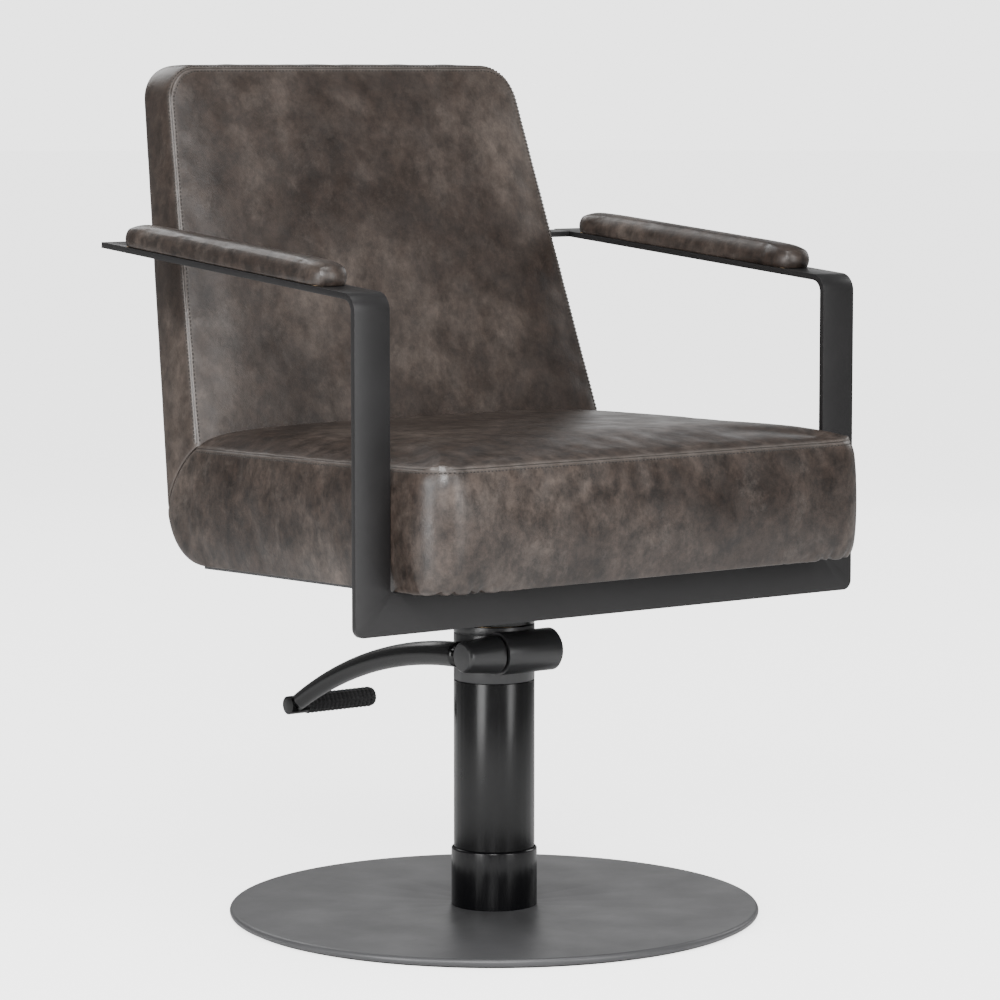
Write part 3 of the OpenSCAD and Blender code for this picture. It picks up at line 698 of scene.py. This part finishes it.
def seat_place(a, b, c):
    """a runs across, b from the front to the rear, and c up."""
    half = SEAT_SEAM_HALF
    front, rear = SEAT_FRONT + SEAM_INSET, SEAT_REAR
    half_y = (rear - front) / 2
    x, y, out_x, out_y = rounded(a, b, half, half_y, lambda sa, sb: np.where(sb < 0, FRONT_CORNER_R, 0.0))
    y = y + (front + rear) / 2
    top, under = seat_top_z(y), seat_under_z(y)
    z = under + (top - under) * (c + 1) / 2
    x = x / half * seat_half(y, z)
    in_x, in_y = seat_half(y, z) - np.abs(x), y - front
    # Crown of the top panel, which rises steeply by the seam and then gently
    fade = np.clip((back_front(SEAM_Z) + 0.02 - y) / 0.02, 0, 1)
    crown = 0.0085 * rise(in_x, 0.008) * rise(in_y, 0.008) + 0.0095 * rise(in_x, 0.060) * rise(in_y, 0.060)
    z = z + np.where(c >= ON_FACE, crown * fade, 0)
    # The side and front panels swell out between their seams, and most at the free front corners.
    # flush is 1 along the seam with the back, where they stay level with the back's sides.
    side = np.maximum(np.abs(a), np.abs(b)) >= ON_FACE
    flush = np.clip((y - back_front(SEAM_Z)) / 0.02, 0, 1)
    belly = SEAM_INSET * rise(z - under, 0.006) * (flush + (1 - flush) * rise(top - z, 0.006))
    belly = belly * rise(rear - y, 0.010)
    free = np.clip((FRAME_FRONT - POST_GAP - y) / 0.025, 0, 1)
    belly = belly + CORNER_BULGE * free * rise(z - under, 0.025) * rise(top - z, 0.035)
    x = x + np.where(side, belly * out_x, 0)
    y = y + np.where(side, belly * np.minimum(out_y, 0), 0)
    return np.column_stack([x, y, z])


def seat_seam_path():
    """The sewn edge of the top panel: left side, front and right side."""
    rear = back_front(SEAM_Z)
    half, front, r = SEAT_SEAM_HALF, SEAT_FRONT + SEAM_INSET, FRONT_CORNER_R
    path = [(-float(seat_half(y, seat_seam(y))), y) for y in np.linspace(rear, front + r, 120)]
    path += [(r - half - r * math.cos(t), front + r - r * math.sin(t)) for t in TURN_ANGLES]
    path += [(x, front) for x in np.linspace(r - half, half - r, 140)]
    path += [(half - r + r * math.sin(t), front + r - r * math.cos(t)) for t in TURN_ANGLES]
    path += [(float(seat_half(y, seat_seam(y))), y) for y in np.linspace(front + r, rear, 120)]
    return [np.array([x, y, float(seat_seam(y))]) for x, y in path]


def arc_seam_path(side):
    """The seam in the side, where the seat's panel meets the back's."""
    path = []
    for y in np.linspace(back_front(SEAM_Z), SEAT_REAR, 60):
        z = ARC_C[1] + math.sqrt(max(SEAM_ARC_R**2 - (y - ARC_C[0]) ** 2, 0))
        path.append(np.array([side * (back_half(z) - BACK_SEAM_INSET), y, z]))
    return path


def scallop(obj):
    """Pulls the lower front edge up in small scallops beside each corner."""
    places, width, height, reach = (0.013, 0.024, 0.044, 0.055), 0.0032, 0.0032, 0.004
    points = get_points(obj)
    x, y, z = points.T
    along = SEAT_HALF - np.abs(x)
    arches = sum(np.exp(-(((along - place) / width) ** 2)) for place in places)
    above = np.maximum(z - seat_bottom(y), 0)
    lift = height * arches * np.exp(-above / reach) * (y < FRAME_FRONT - 0.003)
    set_points(obj, points + np.column_stack([0 * x, 0.3 * lift, lift]))


def make_seat():
    """The seat's leather over its foam, held along its seams, under it and below the back."""
    obj, cube = pad_mesh("seat_cushion", seat_place, (84, 72, 22))
    a, b, c = cube.T
    sewn = (np.maximum(np.abs(a), np.abs(b)) > ON_FACE) & (np.abs(c) > ON_FACE)
    held = sewn | (c < -ON_FACE) | (b > 0.80)
    inflate(obj, held, cap=0.004, fullness=0.002)
    subdivide(obj)
    seam = seat_seam_path()
    add_folds(obj, seam, 0.012, 0.0006, 55.0, 3.0)
    # The lower edge is gathered at the front corners and rubbed pale all along the front
    hem = [p - np.array([0, 0, SEAT_SIDE_H - 0.002]) for p in seam]
    gathered = [p for p in hem if abs(p[0]) > SEAT_HALF - 0.11 and p[1] < SEAT_FRONT + 0.04]
    for side in (-1, 1):
        add_folds(obj, [p for p in gathered if p[0] * side > 0], 0.004, 0.0010, 130.0, 5.0)
    scallop(obj)
    front_hem = [p - np.array([0, 0.004, 0.0015]) for p in hem if p[1] < FRAME_FRONT]
    sew(obj, [seam, *[arc_seam_path(side) for side in (-1, 1)]], edges=[front_hem])
    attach(obj, "seat")
    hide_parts("seat_cover", "seat_foam")
    stitches("seat_stitches", obj, [[p - np.array([0, 0, STITCH_DROP]) for p in seam]])


def make_base_edge():
    """The dark edge of the dust cover, seen as a thin line under the seat's sides and rear. It is a
    flat strip in the shape of a U, with four points at each place along its rim."""
    thick, width, inset, overlap = 0.0022, 0.012, 0.0005, 0.0005
    front, rear = FRAME_FRONT + 0.042, REAR_C[0] + 0.004
    rim = [(-float(seat_half(y, seat_bottom(y))), y) for y in np.linspace(front, rear, 40)]
    rim += [(-x, y) for x, y in rim[::-1]]
    verts, faces = [], []
    for x, y in rim:
        for depth in (inset, width):
            inner_x = x - math.copysign(depth, x)
            inner_y = y - max(0.0, depth - (rear - y))
            for z in (seat_bottom(inner_y) - thick, seat_bottom(inner_y) + overlap):
                verts.append((inner_x, inner_y, z))
    for k in range(len(rim) - 1):
        base = 4 * k
        for a, b in ((0, 1), (1, 3), (3, 2), (2, 0)):
            faces.append([base + a, base + b, base + b + 4, base + a + 4])
    faces.append([0, 2, 3, 1])
    faces.append([len(verts) - 4 + k for k in (0, 1, 3, 2)])
    obj = new_piece("dust_cover_edge", verts, faces, SLOT_MATERIALS["dust_fabric"])
    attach(obj, "seat")


# Back

FACE_SET = 0.001  # the front panel's edge lies this far behind the CAD's face
ROW_GAP = 0.0030  # from the seam to a row of stitches


def back_x(u, z):
    """Place across the back of a point that is u from the middle at the top, followed down its flare."""
    return u / BACK_HALF_TOP * (back_half(z) - BACK_SEAM_INSET)


def back_bottom_z(depth):
    """Height of the lower edge at a depth from the front, 0, to the rear, 1, along the arc."""
    front = np.array([back_front(SEAM_Z), SEAM_Z])
    rear = np.array([back_rear(SPLIT_Z), SPLIT_Z])
    y = front[0] + (rear[0] - front[0]) * depth
    return ARC_C[1] + np.sqrt(np.maximum(SEAM_ARC_R**2 - (y - ARC_C[0]) ** 2, 0))


def back_place(a, b, c):
    """a runs across, b up, and c from the rear to the front."""
    depth = (1 - c) / 2
    low = back_bottom_z(depth)
    high = BACK_TOP - BACK_SEAM_INSET
    half_z = (high - low) / 2
    u, v, out_x, out_z = rounded(
        a, b, BACK_HALF_TOP, half_z, lambda sa, sb: np.where(sb > 0, BACK_CORNER_R, 0.0)
    )
    z = low + half_z + v
    x = back_x(u, z)
    y_front, y_rear = back_front(z) + FACE_SET, back_rear(z)
    y = y_front + (y_rear - y_front) * depth
    # Both panels swell steeply by the seam, and then gently to the crown
    in_x = back_half(z) - BACK_SEAM_INSET - np.abs(x)
    in_z = high - z
    face = rise(in_x, 0.007) * rise(in_z, 0.007)
    crown = rise(in_x, 0.130) * rise(in_z, 0.130)
    y = y - np.where(c >= ON_FACE, 0.0035 * face + 0.013 * crown, 0)
    y = y + np.where(c <= -ON_FACE, (0.0020 * face + 0.001 * crown) * rise(z - low, 0.05), 0)
    side = np.maximum(np.abs(a), np.abs(b)) >= ON_FACE
    belly = BACK_SEAM_INSET * rise(depth * BACK_THICK, 0.006) * rise((1 - depth) * BACK_THICK, 0.006)
    x = x + np.where(side, belly * out_x, 0)
    z = z + np.where(side, belly * np.maximum(out_z, 0), 0)
    return np.column_stack([x, y, z])


def back_edge_path(front=True, low=SEAM_Z + 0.004):
    """The sewn edge of the front or the rear panel: up the left side, over the top, down the right."""
    high, r, half = BACK_TOP - BACK_SEAM_INSET, BACK_CORNER_R, BACK_HALF_TOP

    def at(u, z):
        y = back_front(z) + FACE_SET if front else back_rear(z)
        return np.array([back_x(u, z), y, z])

    path = [at(-half, z) for z in np.linspace(low, high - r, 150)]
    turns = [(r * math.cos(t), r * math.sin(t)) for t in TURN_ANGLES]
    path += [at(r - half - across, high - r + up) for across, up in turns]
    path += [at(u, high) for u in np.linspace(r - half, half - r, 150)]
    path += [at(half - r + across, high - r + up) for across, up in turns[::-1]]
    path += [at(half, z) for z in np.linspace(high - r, low, 150)]
    return path


def make_back():
    """The back's leather over its foam, held along its seams and where it meets the seat."""
    obj, cube = pad_mesh("back_cushion", back_place, (76, 72, 14), material=BACK_LEATHER)
    a, b, c = cube.T
    sewn = (np.maximum(np.abs(a), np.abs(b)) > ON_FACE) & (np.abs(c) > ON_FACE)
    inflate(obj, sewn | (b < -0.93), cap=0.003, fullness=0.0, pressure=3.0)
    subdivide(obj)
    seam = back_edge_path()
    rear_seam = back_edge_path(front=False, low=SPLIT_Z + 0.004)
    add_folds(obj, seam, 0.014, 0.0008, 45.0, 7.0)
    sew(obj, [seam, rear_seam, *[arc_seam_path(side) for side in (-1, 1)]])
    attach(obj, "seat")
    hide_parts("back_cover", "back_foam")
    # One row of stitches on the band round the back, and one on its face, nearer the middle
    behind = np.array([0, ROW_GAP, 0])
    middle = np.array([0, 0, 0.66])
    inward = [(middle - p) * np.array([1, 0, 1]) for p in seam]
    face_row = [p + 0.0026 * d / np.abs(d).max() - behind for p, d in zip(seam, inward)]
    stitches("back_stitches", obj, [[p + behind for p in seam], face_row])


# Arm pads


def loaf(a, b, c, roundness):
    """Maps the surface of a cube to a ball, and back towards the cube by what roundness leaves."""
    aa, bb, cc = a * a, b * b, c * c
    ball = (
        a * np.sqrt(1 - bb / 2 - cc / 2 + bb * cc / 3),
        b * np.sqrt(1 - aa / 2 - cc / 2 + aa * cc / 3),
        c * np.sqrt(1 - aa / 2 - bb / 2 + aa * bb / 3),
    )
    return [roundness * p + (1 - roundness) * q for p, q in zip(ball, (a, b, c))]


def make_arm_pad(name):
    """A loaf of padded leather, flat below, with round ends, that lies along the sloping arm."""
    low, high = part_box(name)
    x_mid, half_w = (low.x + high.x) / 2, (high.x - low.x) / 2
    height, end_r, flat = 0.0225, 0.024, 0.50
    half_l = (high.y - low.y) / math.cos(ARM_RISE) / 2

    def place(a, b, c):
        straight = half_l - end_r
        along = b * half_l
        end = np.clip((np.abs(along) - straight) / end_r, 0, 1)
        u, e, w = loaf(a, np.sign(b) * end, c, 0.80)
        reach = np.where(end > 0, np.sign(b) * straight + e * end_r, along)
        up = (np.maximum(w, -flat) + flat) / (1 + flat) * height
        v = reach + half_l
        y = low.y + v * math.cos(ARM_RISE) - up * math.sin(ARM_RISE)
        z = low.z + v * math.sin(ARM_RISE) + up * math.cos(ARM_RISE)
        return np.column_stack([x_mid + u * half_w, y, z])

    obj, cube = pad_mesh(f"{name}_leather", place, (20, 84, 14), crowd=0.75)
    inflate(obj, cube[:, 2] < -0.5, cap=0.0015, fullness=0.002, pressure=3.0)
    subdivide(obj)
    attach(obj, "seat")
    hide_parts(name)


# Pedal rubber


def make_pedal():
    """A ribbed rubber sleeve: rows of small raised blocks round a rod, with a rounded end."""
    low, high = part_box("pedal_grip")
    length = high.x - low.x
    middle_y, middle_z = (low.y + high.y) / 2, (low.z + high.z) / 2
    crest, shoulder, end_reach = 0.0011, 0.0009, 0.007
    core = (high.z - low.z) / 2 - crest
    per_block = 6
    sides, steps = 16 * per_block, 17 * per_block
    verts, faces = [], []
    for i in range(steps + 1):
        x = low.x + length * i / steps
        end = (high.x - x) / end_reach
        near = math.sqrt(max(0.02, 1 - (1 - min(1.0, end)) ** 2))
        for k in range(sides):
            turn = 2 * math.pi * k / sides
            spot = (i % per_block, k % per_block)
            on_block = all(1 <= place <= 4 for place in spot)
            on_crest = all(2 <= place <= 3 for place in spot)
            lift = crest if on_crest else shoulder if on_block else 0.0
            r = (core + lift) * near
            verts.append((x, middle_y + r * math.cos(turn), middle_z + r * math.sin(turn)))
    for i in range(steps):
        for k in range(sides):
            a, b = i * sides + k, i * sides + (k + 1) % sides
            faces.append([a, b, b + sides, a + sides])
    faces.append(list(range(sides))[::-1])
    faces.append([steps * sides + k for k in range(sides)])
    obj = new_piece("pedal_rubber", verts, faces, RUBBER)
    smooth(obj.data)
    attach(obj, "lever")
    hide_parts("pedal_grip")


# Stage, light and camera

FLOOR_R = 40.0
CAMERA_AT = (-2.5373, -3.3601, 0.8745)
CAMERA_PITCH, CAMERA_TURN = 84.0, -37.14  # degrees
CAMERA_LENS, CAMERA_SENSOR = 147.85, 36.0  # millimetres


def make_stage():
    """A wide pale floor, and a world that is brighter to the camera than to the object."""
    bpy.ops.mesh.primitive_circle_add(vertices=128, radius=FLOOR_R, fill_type="NGON", location=(0, 0, 0))
    floor = bpy.context.object
    floor.name = "studio_floor"
    floor.data.materials.append(floor_paint())
    world = bpy.data.worlds.new("studio")
    bpy.context.scene.world = world
    world.use_nodes = True
    tree = world.node_tree
    backdrop = tree.nodes["Background"]
    backdrop.inputs["Color"].default_value = (1, 1, 1, 1)
    strength = tree.nodes.new("ShaderNodeMath")
    strength.operation = "MULTIPLY_ADD"
    strength.inputs[1].default_value = BACKDROP_GLOW - STUDIO_FILL
    strength.inputs[2].default_value = STUDIO_FILL
    tree.links.new(tree.nodes.new("ShaderNodeLightPath").outputs["Is Camera Ray"], strength.inputs[0])
    tree.links.new(strength.outputs[0], backdrop.inputs["Strength"])


def area_light(name, at, aim, size, power):
    """A softbox in watts that the camera doesn't see."""
    data = bpy.data.lights.new(name, "AREA")
    data.shape = "RECTANGLE"
    data.size, data.size_y = size
    data.energy = power
    obj = bpy.data.objects.new(name, data)
    bpy.context.scene.collection.objects.link(obj)
    obj.location = at
    obj.rotation_euler = (Vector(aim) - Vector(at)).to_track_quat("-Z", "Y").to_euler()
    obj.visible_camera = False


def make_lights():
    area_light("soft_front", (0.40, -3.9, 1.55), (0, 0, 0.65), (1.2, 2.9), 80)
    area_light("soft_left", (-3.4, -0.7, 1.1), (0, 0, 0.5), (1.3, 2.1), 84)
    area_light("soft_key", (-1.8, -2.1, 1.85), (-0.1, 0, 0.5), (0.8, 0.9), 90)
    area_light("soft_top", (-0.3, -0.9, 3.3), (0, 0, 0.4), (1.8, 1.6), 56)
    area_light("soft_rear", (2.6, 3.0, 1.2), (0, 0, 0.4), (1.6, 1.6), 6)
    area_light("soft_back", (0.4, 3.2, 2.7), (0, 0, 0.5), (1.8, 1.6), 34)
    area_light("soft_right", (3.5, 0.3, 1.9), (0, 0, 0.5), (1.2, 1.6), 20)


def make_camera():
    """The photo's own viewpoint, as fitted to its outlines."""
    data = bpy.data.cameras.new("camera")
    data.lens = CAMERA_LENS
    data.sensor_width = CAMERA_SENSOR
    obj = bpy.data.objects.new("camera", data)
    bpy.context.scene.collection.objects.link(obj)
    obj.location = CAMERA_AT
    obj.rotation_euler = (math.radians(CAMERA_PITCH), 0, math.radians(CAMERA_TURN))
    bpy.context.scene.camera = obj


make_camera()
make_stage()
make_lights()
dress_cad_nodes()
make_seat()
make_base_edge()
make_back()
make_arm_pad("arm_pad_left")
make_arm_pad("arm_pad_right")
make_pedal()
